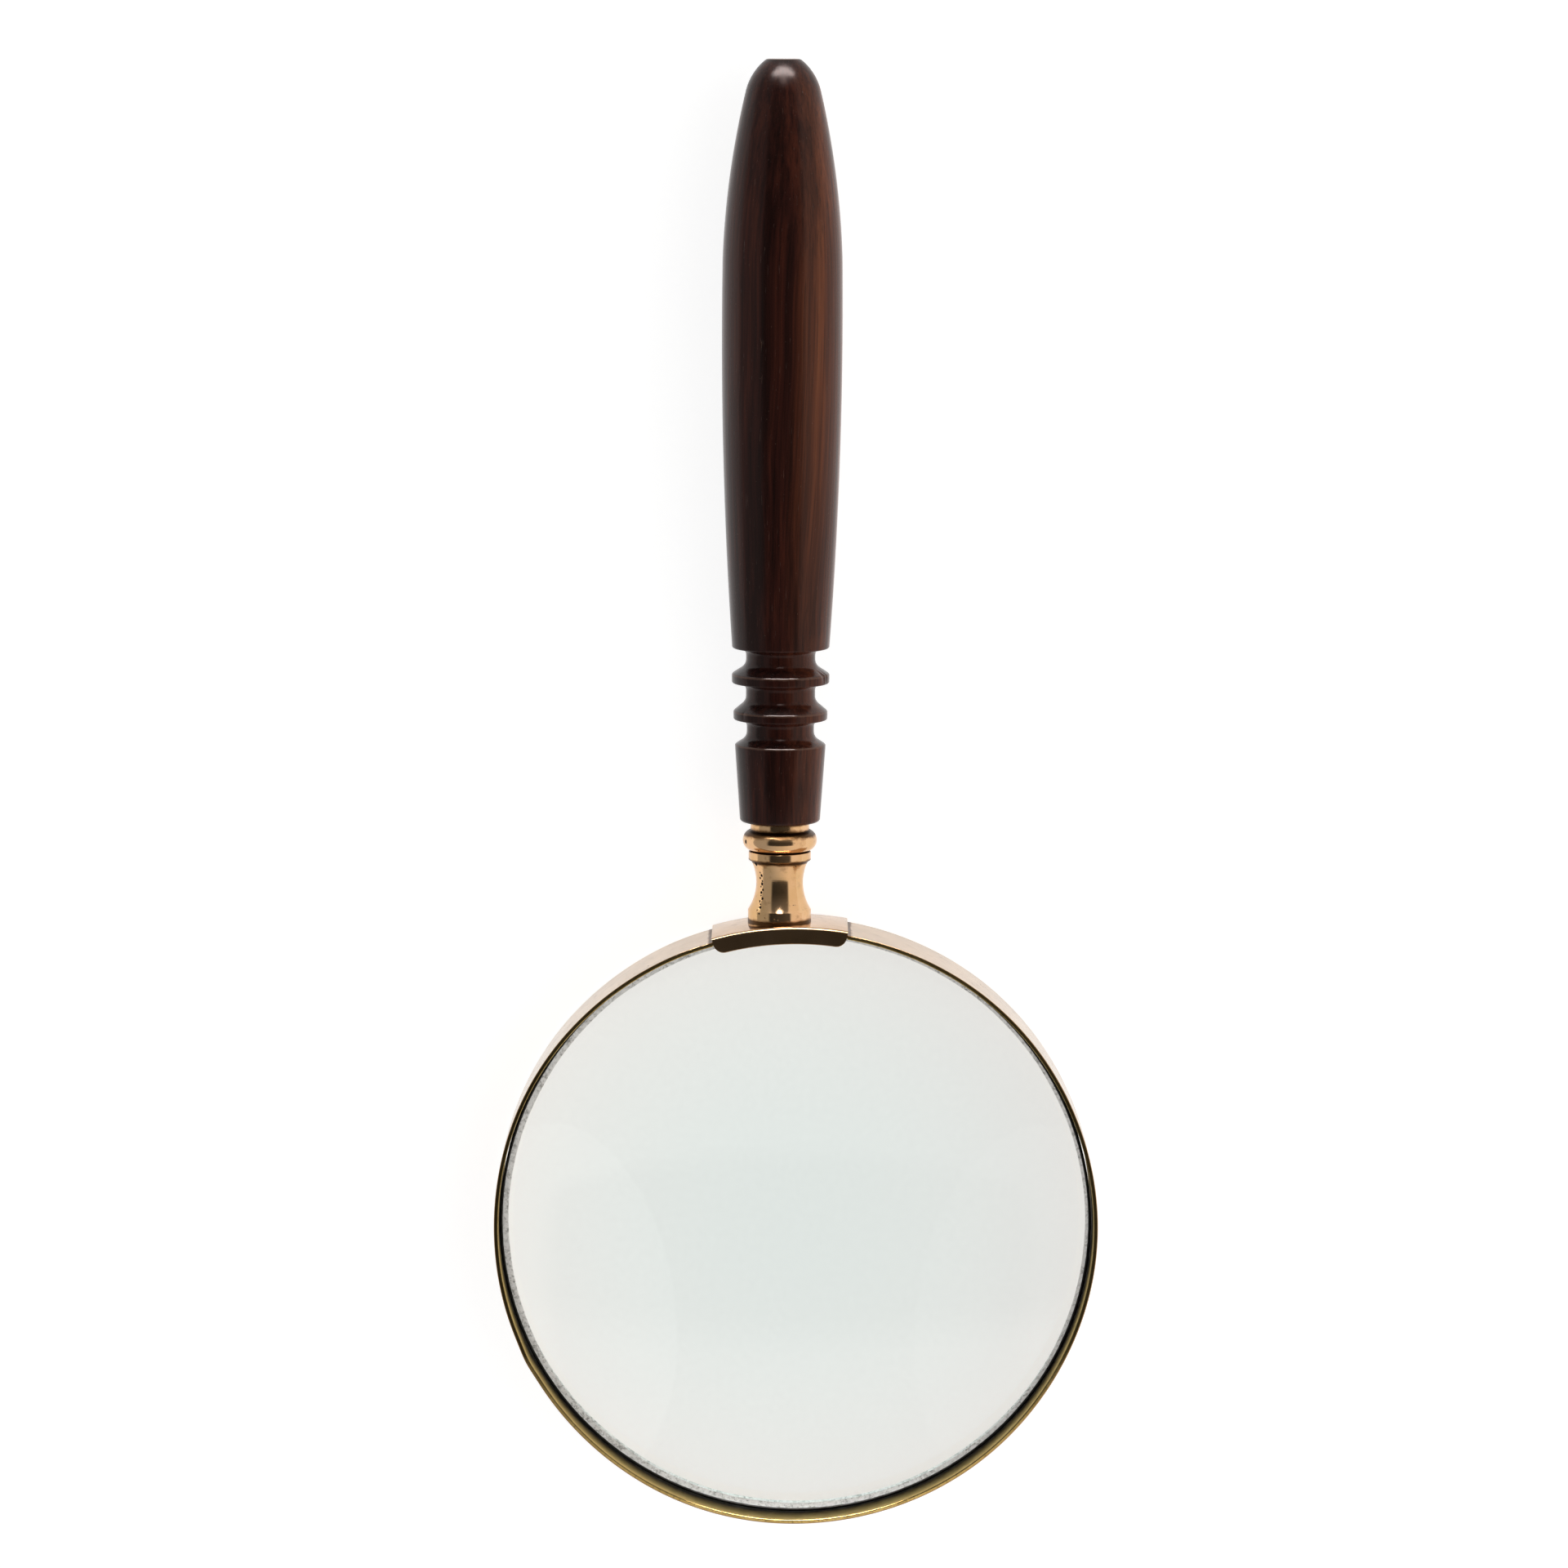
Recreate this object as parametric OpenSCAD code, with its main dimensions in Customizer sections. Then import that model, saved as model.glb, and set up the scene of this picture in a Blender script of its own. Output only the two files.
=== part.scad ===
// Hand magnifier: a biconvex reading lens held in a deep brass hoop, with a
// brass saddle and turned pillar joining it to a turned rosewood handle.
// Units are millimetres.
// The glass lies level with its axis along +Z, and the handle points along +Y.
// The origin is the centre of the hoop's lower face.

/* [Show] */
// node to draw

/* [Lens] */
// lens diameter
lens_d = 101.6; // [100:0.1:101.6]
// curvature radius of both glass faces
lens_face_r = 250; // [235:5:400]
// thickness of the glass at its centre
lens_centre_t = 14.5; // [13:0.1:15]
// width of the ground bevel round each face, measured along the radius
lens_bevel_w = 1.5; // [1:0.1:2]
// axial depth of the ground bevel
lens_bevel_t = 0.85; // [0.6:0.05:0.9]

/* [Hoop] */
// outside diameter of the hoop
hoop_d = 103.2; // [103.2:0.1:104]
// wall thickness of the hoop
hoop_wall = 0.7; // [0.6:0.05:0.7]
// depth of the hoop along the lens axis
hoop_depth = 15.6; // [15.4:0.1:20]
// sideways offset of the hoop's centre from the handle's axis
hoop_offset = 3; // [0:0.1:3]
// width of the broken corners of the hoop
hoop_corner = 0.12; // [0.05:0.01:0.15]

/* [Spring wires] */
// wire diameter of the two split rings that hold the lens
wire_d = 0.5; // [0.4:0.05:0.9]
// opening in each split ring, in degrees
wire_gap_deg = 9; // [4:1:20]

/* [Saddle] */
// metal thickness of the saddle
saddle_t = 0.7; // [0.5:0.05:0.8]
// length of the saddle across its ends
saddle_l = 23.3; // [20:0.1:30]
// how far the folded wings reach down from the saddle's top
saddle_wing_drop = 2.95; // [2:0.05:3.2]
// corner radius of the wings
saddle_corner_r = 1.8; // [1:0.1:1.8]
// outside bend radius of the folds
saddle_bend_r = 0.6; // [0.3:0.05:0.7]

/* [Pillar] */
// height of the pillar's upper end above the lens centre
pillar_top_y = 62.65; // [62:0.05:63]
// radius of the pillar's base
pillar_base_r = 5.42; // [5:0.02:5.8]
// smallest radius of the pillar's neck
pillar_neck_r = 4.03; // [3.8:0.01:4.3]
// radius of the hollow curve of the neck
pillar_curve_r = 8.6; // [8.4:0.1:9.6]
// height of the narrowest point of the neck above the lens centre
pillar_neck_y = 58.9; // [58.6:0.05:59.1]

/* [Spacer ring and collar] */
// radius of the spacer ring
spacer_r = 5.34; // [5.1:0.02:5.8]
// thickness of the spacer ring
spacer_t = 1.6; // [1.2:0.05:1.6]
// largest radius of the collar's bead
bead_r = 6.35; // [6:0.05:7]
// radius of the rounding of the bead
bead_round_r = 1.85; // [1.6:0.05:1.9]
// radius of the collar's plain neck
collar_neck_r = 5.02; // [4.8:0.02:5.4]
// radius of the collar's spigot inside the handle
spigot_r = 4; // [3.5:0.1:4.4]
// length of the spigot
spigot_l = 8; // [5:0.5:10]

/* [Threaded parts] */
// radius of the handle stud
stud_r = 2.5; // [2.3:0.05:2.6]
// running clearance of the stud in the pillar and the spacer ring
stud_clear = 0.05; // [0.02:0.01:0.1]
// depth of the stud's blind hole in the pillar
stud_hole_l = 6; // [5:0.1:6]
// length of the stud inside the handle
stud_in_handle = 22; // [15:1:26]
// radius of the rim screw's shank
screw_r = 1.5; // [1.2:0.05:1.5]
// radius of the rim screw's head
screw_head_r = 2.5; // [2.2:0.05:2.5]
// depth of the rim screw's conical head
screw_head_t = 1; // [0.9:0.05:1.1]
// length of the rim screw
screw_l = 4.6; // [3.5:0.1:4.8]

/* [Handle] */
// distance from the lens centre to the lower end of the handle
handle_y = 69.4; // [69.3:0.05:69.5]
// length of the handle
handle_l = 129.5; // [120:0.5:140]
// largest radius of the grip
grip_r = 10.22; // [9.5:0.02:11]
// height of the grip's lower shoulder above the handle's end
grip_shoulder_h = 29.8; // [29.5:0.1:30.5]
// corner radius of the grip's lower shoulder
grip_corner_r = 0.35; // [0.3:0.05:0.9]
// radius of the long curve from the belly down to the shoulder
grip_low_curve_r = 770; // [700:10:900]
// height at which the long lower curve is widest
grip_low_curve_h = 84.5; // [80:0.5:88]
// radius of the curve from the belly up to the end
grip_top_curve_r = 143; // [138:1:155]
// distance from the widest point of the upper curve to the handle's end
grip_top_curve_l = 38.5; // [36:0.5:40]
// radius of the rounded end
grip_end_r = 9.5; // [7:0.5:10]
// radius of the flat spot on the end
grip_flat_r = 2.8; // [2.5:0.1:3.6]
// radius of the hollow at the foot of each neck
hollow_r = 1.75; // [1.5:0.05:1.85]
// radius of the small fillet at the head of each neck
fillet_r = 1.2; // [0.8:0.05:1.4]
// radius of the upper and middle necks
neck_r = 5.9; // [5.6:0.01:6]
// radius of the neck above the foot
low_neck_r = 5.73; // [5.5:0.01:5.9]
// outside radius of the upper rim
rim_top_r = 8.3; // [8.1:0.02:8.5]
// height of the upper rim's upper edge
rim_top_h = 25.4; // [25.2:0.05:25.5]
// thickness of the upper rim at its edge
rim_top_t = 1.6; // [1.4:0.05:1.7]
// angle of the flare down to the upper rim, measured from the handle's axis
rim_top_flare = 56.5; // [54:0.5:60]
// outside radius of the lower rim
rim_low_r = 8; // [7.8:0.02:8.2]
// height of the lower rim's upper edge
rim_low_h = 19.05; // [18.9:0.05:19.1]
// thickness of the lower rim at its edge
rim_low_t = 1.5; // [1.3:0.05:1.6]
// angle of the flare down to the lower rim
rim_low_flare = 49.5; // [48:0.5:56]
// radius of the edge rounding of both rims
rim_edge_r = 0.3; // [0.15:0.01:0.4]
// height of the foot's upper edge
foot_h = 13.3; // [13:0.05:13.4]
// radius of the foot at its upper edge
foot_top_r = 7.7; // [7.5:0.01:7.8]
// radius of the foot at its lower end
foot_low_r = 6.86; // [6.6:0.02:7.2]
// angle of the flare down to the foot
foot_flare = 56.5; // [54:0.5:60]
// radius of the foot's upper edge rounding
foot_edge_r = 0.2; // [0.1:0.01:0.4]
// radius of the foot's lower edge rounding
foot_corner_r = 0.6; // [0.3:0.05:0.8]

/* [Hidden] */

brass = [0.86, 0.68, 0.48];
steel = [0.62, 0.62, 0.64];
rosewood = [0.2, 0.12, 0.1];
crystal = [0.86, 0.9, 0.88, 0.45];

// facets of small rounds, of ordinary rounds and of the long shallow curves
fn_small = 48;
fn_round = 128;
fn_long = 720;
// allowance that lets a cut run past a face
past = 1;
// gap between faces that seat on each other but can part
seat = 0.05;

hoop_r = hoop_d / 2;
hoop_in_r = hoop_r - hoop_wall;
mid_z = hoop_depth / 2;
lens_r = lens_d / 2;

// half thickness of the glass where the bevel starts and at its edge
lens_sag = lens_face_r - sqrt(pow(lens_face_r, 2) - pow(lens_r - lens_bevel_w, 2));
lens_bevel_z = lens_centre_t / 2 - lens_sag;
lens_edge_z = lens_bevel_z - lens_bevel_t;

// the spring wires rest on the bevel and against the hoop
wire_seat = 0.05;
wire_r = wire_d / 2;
wire_ring_r = hoop_in_r - wire_r - wire_seat;
bevel_len = sqrt(pow(lens_bevel_w, 2) + pow(lens_bevel_t, 2));
bevel_slope = lens_bevel_t / lens_bevel_w;
bevel_z_at_wire = lens_bevel_z - (wire_ring_r - lens_r + lens_bevel_w) * bevel_slope;
wire_z = bevel_z_at_wire + (wire_r + wire_seat) * bevel_len / lens_bevel_w;

// the saddle sits square under the handle's axis
saddle_out_r = hoop_r + saddle_t;
saddle_turn = asin(hoop_offset / saddle_out_r);
saddle_half = asin(saddle_l / 2 / saddle_out_r);
saddle_in_r = saddle_out_r - saddle_wing_drop;
// the wings stand this far below the hoop's flat faces, and this far from the notch's ends
wing_sink = 0.05;
wing_gap = 0.15;
notch_z = wing_sink + saddle_t;
notch_half = saddle_half + asin(wing_gap / saddle_out_r);
corner_ring_r = saddle_in_r + saddle_corner_r;
corner_turn = asin(saddle_corner_r / corner_ring_r);
corner_reach = sqrt(pow(corner_ring_r, 2) - pow(saddle_corner_r, 2)) * cos(corner_turn);

// the rim screw's head is sunk just below the hoop's inner wall
screw_y = hoop_in_r + seat;
screw_slot_w = 0.8;
screw_slot_t = 0.45;
screw_hole_y = screw_y + screw_l + 0.2;

spacer_top_y = pillar_top_y + seat + spacer_t;
collar_low_y = spacer_top_y + seat;
bead_y = collar_low_y + bead_round_r;
bead_ring_r = bead_r - bead_round_r;
spacer_edge = 0.25;
stud_low_y = pillar_top_y - stud_hole_l + 0.2;
stud_chamfer = 0.5;
stud_hole_r = stud_r + stud_clear;

// edges the necks flare out to: radius, height, flare angle, neck radius, edge rounding
flares = [[rim_top_r, rim_top_h, rim_top_flare, neck_r, rim_edge_r],
          [rim_low_r, rim_low_h, rim_low_flare, neck_r, rim_edge_r],
          [foot_top_r, foot_h, foot_flare, low_neck_r, foot_edge_r]];
rim_bottoms = [rim_top_h - rim_top_t, rim_low_h - rim_low_t];
neck_tops = [grip_shoulder_h, rim_bottoms[0], rim_bottoms[1]];

// the rounded end touches the upper curve from inside and passes the flat spot's edge
belly_top = handle_l - grip_top_curve_l;
end_rise = grip_flat_r - grip_r + grip_top_curve_r;
end_far = sqrt(pow(grip_top_curve_l, 2) + pow(end_rise, 2));
end_reach = grip_top_curve_r - grip_end_r;
end_along = (pow(end_reach, 2) - pow(grip_end_r, 2) + pow(end_far, 2)) / (2 * end_far);
end_aside = sqrt(pow(end_reach, 2) - pow(end_along, 2));
end_ring_dh = (end_along * grip_top_curve_l - end_aside * end_rise) / end_far;
end_ring_dr = (end_along * end_rise + end_aside * grip_top_curve_l) / end_far;
end_touch_dh = end_ring_dh * grip_top_curve_r / end_reach;

// centre of the edge rounding of flare m
function edge_centre(m) = [m[0] - m[4], m[1] - m[4] * tan(m[2] / 2)];

// where the edge rounding of flare m runs into its cone
function cone_low(m) = edge_centre(m) + m[4] * [cos(m[2]), sin(m[2])];

// where the cone of flare m runs into its hollow
function cone_top(m) = [
    m[3] + hollow_r * (1 - cos(m[2])),
    m[1] + (m[0] - m[3] - hollow_r * (1 - cos(m[2]))) / tan(m[2])
];

// centre of the hollow of flare m
function hollow_centre(m) = cone_top(m) + hollow_r * [cos(m[2]), sin(m[2])];

// turns an outline about the handle's axis, its second coordinate along +Y
module lathe() {
    translate([-hoop_offset, 0, mid_z])
        rotate([-90, 0, 0])
            rotate_extrude($fn = fn_round)
                children();
}

// half section of the glass on one side of its middle plane, bevel included
module lens_half() {
    intersection() {
        translate([0, lens_centre_t / 2 - lens_face_r])
            circle(r = lens_face_r, $fn = fn_long);
        polygon([
            [0, 0],
            [lens_r, 0],
            [lens_r, lens_edge_z],
            [lens_r - lens_bevel_w, lens_bevel_z],
            [lens_r - lens_bevel_w, lens_centre_t / 2],
            [0, lens_centre_t / 2]
        ]);
    }
}

module lens() {
    color(crystal)
        translate([0, 0, mid_z])
            rotate_extrude($fn = fn_round) {
                lens_half();
                mirror([0, 1])
                    lens_half();
            }
}

// section of the hoop's wall with broken corners
module hoop_section() {
    polygon([
        [hoop_in_r + hoop_corner, 0],
        [hoop_r - hoop_corner, 0],
        [hoop_r, hoop_corner],
        [hoop_r, hoop_depth - hoop_corner],
        [hoop_r - hoop_corner, hoop_depth],
        [hoop_in_r + hoop_corner, hoop_depth],
        [hoop_in_r, hoop_depth - hoop_corner],
        [hoop_in_r, hoop_corner]
    ]);
}

// a sector of a ring centred under the handle's axis
module saddle_sector(half) {
    rotate([0, 0, 90 + saddle_turn - half])
        rotate_extrude(angle = 2 * half, $fn = fn_round)
            children();
}

// the countersunk screw's outline, its end at height tip
module screw_outline(tip) {
    polygon([
        [0, screw_y],
        [screw_head_r, screw_y],
        [screw_r, screw_y + screw_head_t],
        [screw_r, tip],
        [0, tip]
    ]);
}

// the countersunk hole, open towards the lens
module screw_hole() {
    lathe() {
        translate([0, screw_y - 2 * past])
            square([screw_head_r, 2 * past]);
        screw_outline(screw_hole_y);
    }
}

module hoop() {
    color(brass)
        difference() {
            rotate_extrude($fn = fn_round)
                hoop_section();
            for (low = [-past, hoop_depth - notch_z])
                saddle_sector(notch_half)
                    translate([hoop_in_r - past, low])
                        square([hoop_wall + 2 * past, notch_z + past]);
            screw_hole();
        }
}

// one split ring of round wire, its opening hidden behind the saddle
module spring_wire(z) {
    color(steel)
        translate([0, 0, z])
            rotate([0, 0, 90 + saddle_turn + wire_gap_deg / 2])
                rotate_extrude(angle = 360 - wire_gap_deg, $fn = fn_round)
                    translate([wire_ring_r, 0])
                        circle(r = wire_r, $fn = fn_small);
}

module front_spring_wire() {
    spring_wire(mid_z + wire_z);
}

module rear_spring_wire() {
    spring_wire(mid_z - wire_z);
}

// section across the saddle: a plate over the hoop and two folded wings
module saddle_section() {
    difference() {
        union() {
            translate([saddle_in_r, wing_sink])
                square([saddle_wing_drop - saddle_bend_r, hoop_depth - 2 * wing_sink]);
            translate([saddle_in_r, wing_sink + saddle_bend_r])
                square([saddle_wing_drop, hoop_depth - 2 * (wing_sink + saddle_bend_r)]);
            for (z = [wing_sink + saddle_bend_r, hoop_depth - wing_sink - saddle_bend_r])
                translate([saddle_out_r - saddle_bend_r, z])
                    circle(r = saddle_bend_r, $fn = fn_small);
        }
        translate([saddle_in_r - past, notch_z])
            square([hoop_r - saddle_in_r + past, hoop_depth - 2 * notch_z]);
    }
}

// removes the sharp lower corner of the wings at one end, side is +1 or -1
module wing_corner_cut(side) {
    rotate([0, 0, 90 + saddle_turn + side * (saddle_half - corner_turn)])
        linear_extrude(hoop_depth)
            difference() {
                translate([saddle_in_r - past, side > 0 ? 0 : -saddle_corner_r - past])
                    square([corner_reach - saddle_in_r + past, saddle_corner_r + past]);
                translate([corner_ring_r, 0])
                    circle(r = saddle_corner_r, $fn = fn_small);
            }
}

module saddle() {
    color(brass)
        difference() {
            saddle_sector(saddle_half)
                saddle_section();
            for (side = [-1, 1])
                wing_corner_cut(side);
            screw_hole();
        }
}

module rim_screw() {
    color(steel)
        difference() {
            lathe()
                screw_outline(screw_y + screw_l);
            translate([-hoop_offset - screw_slot_w / 2, screw_y - past, mid_z - screw_head_r - past])
                cube([screw_slot_w, past + screw_slot_t, 2 * (screw_head_r + past)]);
        }
}

module pillar_outline() {
    difference() {
        translate([0, hoop_in_r])
            square([pillar_base_r, pillar_top_y - hoop_in_r]);
        translate([pillar_neck_r + pillar_curve_r, pillar_neck_y])
            circle(r = pillar_curve_r, $fn = fn_long);
        translate([0, pillar_top_y - stud_hole_l])
            square([stud_hole_r, stud_hole_l + past]);
        translate([0, hoop_in_r - past])
            square([screw_r, screw_hole_y - hoop_in_r + past]);
    }
}

module pillar() {
    color(brass)
        difference() {
            lathe()
                pillar_outline();
            cylinder(r = saddle_out_r, h = hoop_depth, $fn = fn_long);
        }
}

module spacer_ring() {
    color(brass)
        lathe()
            polygon([
                [stud_hole_r, pillar_top_y + seat],
                [spacer_r - spacer_edge, pillar_top_y + seat],
                [spacer_r, pillar_top_y + seat + spacer_edge],
                [spacer_r, spacer_top_y - spacer_edge],
                [spacer_r - spacer_edge, spacer_top_y],
                [stud_hole_r, spacer_top_y]
            ]);
}

module collar_outline() {
    difference() {
        union() {
            translate([0, collar_low_y])
                square([bead_ring_r, handle_y - collar_low_y]);
            translate([0, bead_y])
                square([collar_neck_r, handle_y - bead_y]);
            translate([0, handle_y])
                square([spigot_r, spigot_l]);
            translate([bead_ring_r, bead_y])
                circle(r = bead_round_r, $fn = fn_small);
        }
        translate([0, collar_low_y - past])
            square([stud_r, handle_y + spigot_l - collar_low_y + 2 * past]);
    }
}

module collar() {
    color(brass)
        lathe()
            collar_outline();
}

module handle_stud() {
    color(steel)
        lathe()
            polygon([
                [0, stud_low_y],
                [stud_r - stud_chamfer, stud_low_y],
                [stud_r, stud_low_y + stud_chamfer],
                [stud_r, handle_y + stud_in_handle],
                [0, handle_y + stud_in_handle]
            ]);
}

// one neck: an edge rounding, a cone, a hollow and a fillet, up to height top
module neck_outline(m, top) {
    edge = edge_centre(m);
    hollow = hollow_centre(m);
    difference() {
        polygon([
            [0, edge[1]],
            [m[0], edge[1]],
            cone_low(m),
            cone_top(m),
            [m[3], hollow[1]],
            [m[3], top - fillet_r],
            [m[3] + fillet_r, top],
            [0, top]
        ]);
        translate(hollow)
            circle(r = hollow_r, $fn = fn_round);
        translate([m[3] + fillet_r, top - fillet_r])
            circle(r = fillet_r, $fn = fn_round);
    }
    translate(edge)
        circle(r = m[4], $fn = fn_small);
}

// the short cylinder of the rim below flare m, its lower edge rounded
module rim_outline(m, bottom) {
    translate([0, bottom + m[4]])
        square([m[0], edge_centre(m)[1] - bottom - m[4]]);
    translate([0, bottom])
        square([m[0] - m[4], 2 * m[4]]);
    translate([m[0] - m[4], bottom + m[4]])
        circle(r = m[4], $fn = fn_small);
}

// the foot: a plain taper with its lower edge rounded
module foot_outline() {
    translate([0, foot_corner_r])
        polygon([
            [0, 0],
            [foot_low_r, 0],
            [foot_top_r, edge_centre(flares[2])[1] - foot_corner_r],
            [0, edge_centre(flares[2])[1] - foot_corner_r]
        ]);
    square([foot_low_r - foot_corner_r, 2 * foot_corner_r]);
    translate([foot_low_r - foot_corner_r, foot_corner_r])
        circle(r = foot_corner_r, $fn = fn_small);
}

// the grip: a long swell ending in a rounded top with a small flat spot
module grip_outline() {
    intersection() {
        translate([grip_r - grip_low_curve_r, grip_low_curve_h])
            circle(r = grip_low_curve_r, $fn = 2 * fn_long);
        union() {
            translate([0, grip_shoulder_h + grip_corner_r])
                square([grip_r, belly_top - grip_shoulder_h - grip_corner_r]);
            intersection() {
                translate([0, belly_top])
                    square([grip_r, grip_top_curve_l]);
                translate([grip_r - grip_top_curve_r, belly_top])
                    circle(r = grip_top_curve_r, $fn = fn_long);
                union() {
                    translate([0, belly_top])
                        square([grip_r, end_touch_dh]);
                    translate([grip_r - grip_top_curve_r + end_ring_dr, belly_top + end_ring_dh])
                        circle(r = grip_end_r, $fn = fn_round);
                }
            }
        }
    }
    grip_shoulder();
}

// the grip's lower edge, rounded
module grip_shoulder() {
    drop = grip_low_curve_h - grip_shoulder_h - grip_corner_r;
    edge_r = grip_r - grip_low_curve_r + sqrt(pow(grip_low_curve_r, 2) - pow(drop, 2));
    translate([0, grip_shoulder_h])
        square([edge_r - grip_corner_r, 2 * grip_corner_r]);
    translate([edge_r - grip_corner_r, grip_shoulder_h + grip_corner_r])
        circle(r = grip_corner_r, $fn = fn_small);
}

module handle_outline() {
    difference() {
        translate([0, handle_y]) {
            grip_outline();
            foot_outline();
            for (i = [0:2])
                neck_outline(flares[i], neck_tops[i]);
            for (i = [0:1])
                rim_outline(flares[i], rim_bottoms[i]);
        }
        translate([0, handle_y - past])
            square([spigot_r, spigot_l + past]);
        translate([0, handle_y - past])
            square([stud_r, stud_in_handle + past]);
    }
}

module handle() {
    color(rosewood)
        lathe()
            handle_outline();
}

lens();
hoop();
front_spring_wire();
rear_spring_wire();
saddle();
rim_screw();
pillar();
spacer_ring();
collar();
handle_stud();
handle();
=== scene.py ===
import math

import bmesh
import bpy
from mathutils import Matrix, Vector


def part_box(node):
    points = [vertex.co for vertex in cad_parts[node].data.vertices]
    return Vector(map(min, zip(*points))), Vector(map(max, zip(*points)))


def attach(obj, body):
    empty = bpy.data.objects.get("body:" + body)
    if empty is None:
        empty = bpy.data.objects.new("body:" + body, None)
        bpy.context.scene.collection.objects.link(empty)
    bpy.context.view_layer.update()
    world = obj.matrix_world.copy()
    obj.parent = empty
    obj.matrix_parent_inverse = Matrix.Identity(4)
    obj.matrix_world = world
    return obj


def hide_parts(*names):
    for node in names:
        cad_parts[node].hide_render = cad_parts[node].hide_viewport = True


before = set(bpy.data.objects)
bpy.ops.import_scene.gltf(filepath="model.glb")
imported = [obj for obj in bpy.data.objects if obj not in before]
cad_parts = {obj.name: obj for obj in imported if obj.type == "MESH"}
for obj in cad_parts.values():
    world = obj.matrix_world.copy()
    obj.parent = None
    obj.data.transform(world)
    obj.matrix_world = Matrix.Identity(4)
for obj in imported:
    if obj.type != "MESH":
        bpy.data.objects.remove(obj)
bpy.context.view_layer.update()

# sizes and outlines are in mm; lamps, the camera, bump distances and noise scales go by the metre
MM = 0.001

# ---------------------------------------------------------------- places
hoop_lo, hoop_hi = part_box("hoop")
saddle_lo, saddle_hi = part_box("saddle")
lens_lo, lens_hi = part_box("lens")
handle_lo, handle_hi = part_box("handle")
pillar_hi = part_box("pillar")[1]
spacer_lo, spacer_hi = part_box("spacer_ring")
collar_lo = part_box("collar")[0]

DEPTH = (hoop_hi.z - hoop_lo.z) / MM
MID_Z = DEPTH / 2
AXIS_X = (handle_lo.x + handle_hi.x) / 2 / MM
HANDLE_Y = handle_lo.y / MM
HANDLE_L = (handle_hi.y - handle_lo.y) / MM
HOOP_TOP = saddle_hi.y / MM
PILLAR_TOP = pillar_hi.y / MM
COLLAR_Y = collar_lo.y / MM

# ---------------------------------------------------------------- camera
VIEW_TILT = math.radians(7.8)
VIEW_ROLL = math.radians(0.28)
VIEW_DISTANCE = 1.115
FOCAL_LENGTH, SENSOR_WIDTH = 150, 36
CLIP_START, CLIP_END = 0.05, 20
# the point looked at, from the middle of the handle's lower end
AIM_RIGHT, AIM_UP = 0.00067, 0.0064

aim = Vector((AXIS_X * MM + AIM_RIGHT, HANDLE_Y * MM + AIM_UP, MID_Z * MM))
back = Vector((0, math.sin(VIEW_TILT), math.cos(VIEW_TILT)))
level_up = Vector((0, math.cos(VIEW_TILT), -math.sin(VIEW_TILT)))
level_right = Vector((1, 0, 0))
cam_data = bpy.data.cameras.new("camera")
cam_data.lens = FOCAL_LENGTH
cam_data.sensor_width = SENSOR_WIDTH
cam_data.clip_start, cam_data.clip_end = CLIP_START, CLIP_END
camera = bpy.data.objects.new("camera", cam_data)
bpy.context.scene.collection.objects.link(camera)
cam_right = level_right * math.cos(VIEW_ROLL) + level_up * math.sin(VIEW_ROLL)
cam_up = level_up * math.cos(VIEW_ROLL) - level_right * math.sin(VIEW_ROLL)
cam_turn = Matrix((cam_right, cam_up, back)).transposed().to_4x4()
camera.matrix_world = Matrix.Translation(aim + back * VIEW_DISTANCE) @ cam_turn
bpy.context.scene.camera = camera

# ---------------------------------------------------------------- sizes, as in the CAD
LENS_R = (lens_hi.x - lens_lo.x) / 2 / MM
LENS_T = (lens_hi.z - lens_lo.z) / MM
FACE_R, BEVEL_W, BEVEL_T = 250.0, 1.5, 0.85
CLEAR_R = LENS_R - BEVEL_W

# the boxes of the hoop and the handle are read from meshes, so they can be a hair small
HOOP_R = max((hoop_hi.x - hoop_lo.x) / 2 / MM, 51.6)
WALL = 0.7
SADDLE_T = 0.7
SADDLE_R = HOOP_R + SADDLE_T
SADDLE_L = (saddle_hi.x - saddle_lo.x) / MM
WING_DROP, WING_CORNER = 2.95, 1.8
BEND_R = 0.6
SINK = 0.05
NOTCH_GAP = 0.15

NECK_R, NECK_CURVE, NECK_Y, BASE_R = 4.03, 8.6, 58.9, 5.42
BEAD_R, BEAD_ROUND, COLLAR_NECK = 6.35, 1.85, 5.02
SPACER_R = (spacer_hi.x - spacer_lo.x) / 2 / MM
SPIGOT_R, SPIGOT_L = 4.0, 8.0
STUD_R, STUD_IN_HANDLE = 2.5, 22.0
STUD_HOLE_R, STUD_HOLE_L = 2.55, 6.0

# heights on the handle are measured from its lower end
GRIP_R = max((handle_hi.x - handle_lo.x) / 2 / MM, 10.22)
SHOULDER_H, SHOULDER_R = 29.8, 0.35
LOW_CURVE, LOW_H = 770.0, 84.5
TOP_CURVE, TOP_L = 143.0, 38.5
END_R, FLAT_R = 9.5, 2.8
HOLLOW_R, FILLET_R = 1.75, 1.2
FOOT_R, FOOT_CORNER = 6.86, 0.6
# foot, lower rim and upper rim: edge radius, edge height, flare angle, neck radius,
# edge rounding, height of the underside, height of the neck's top
RIMS = ((7.7, 13.3, 56.5, 5.73, 0.2, None, 17.55),
        (8.0, 19.05, 49.5, 5.9, 0.3, 17.55, 23.8),
        (8.3, 25.4, 56.5, 5.9, 0.3, 23.8, SHOULDER_H))

# ---------------------------------------------------------------- outlines


def arc(cx, cy, rad, start, end, steps):
    """Points of an arc, angles in degrees, both ends included."""
    out = []
    for i in range(steps + 1):
        a = math.radians(start + (end - start) * i / steps)
        out.append((cx + rad * math.cos(a), cy + rad * math.sin(a)))
    return out


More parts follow.
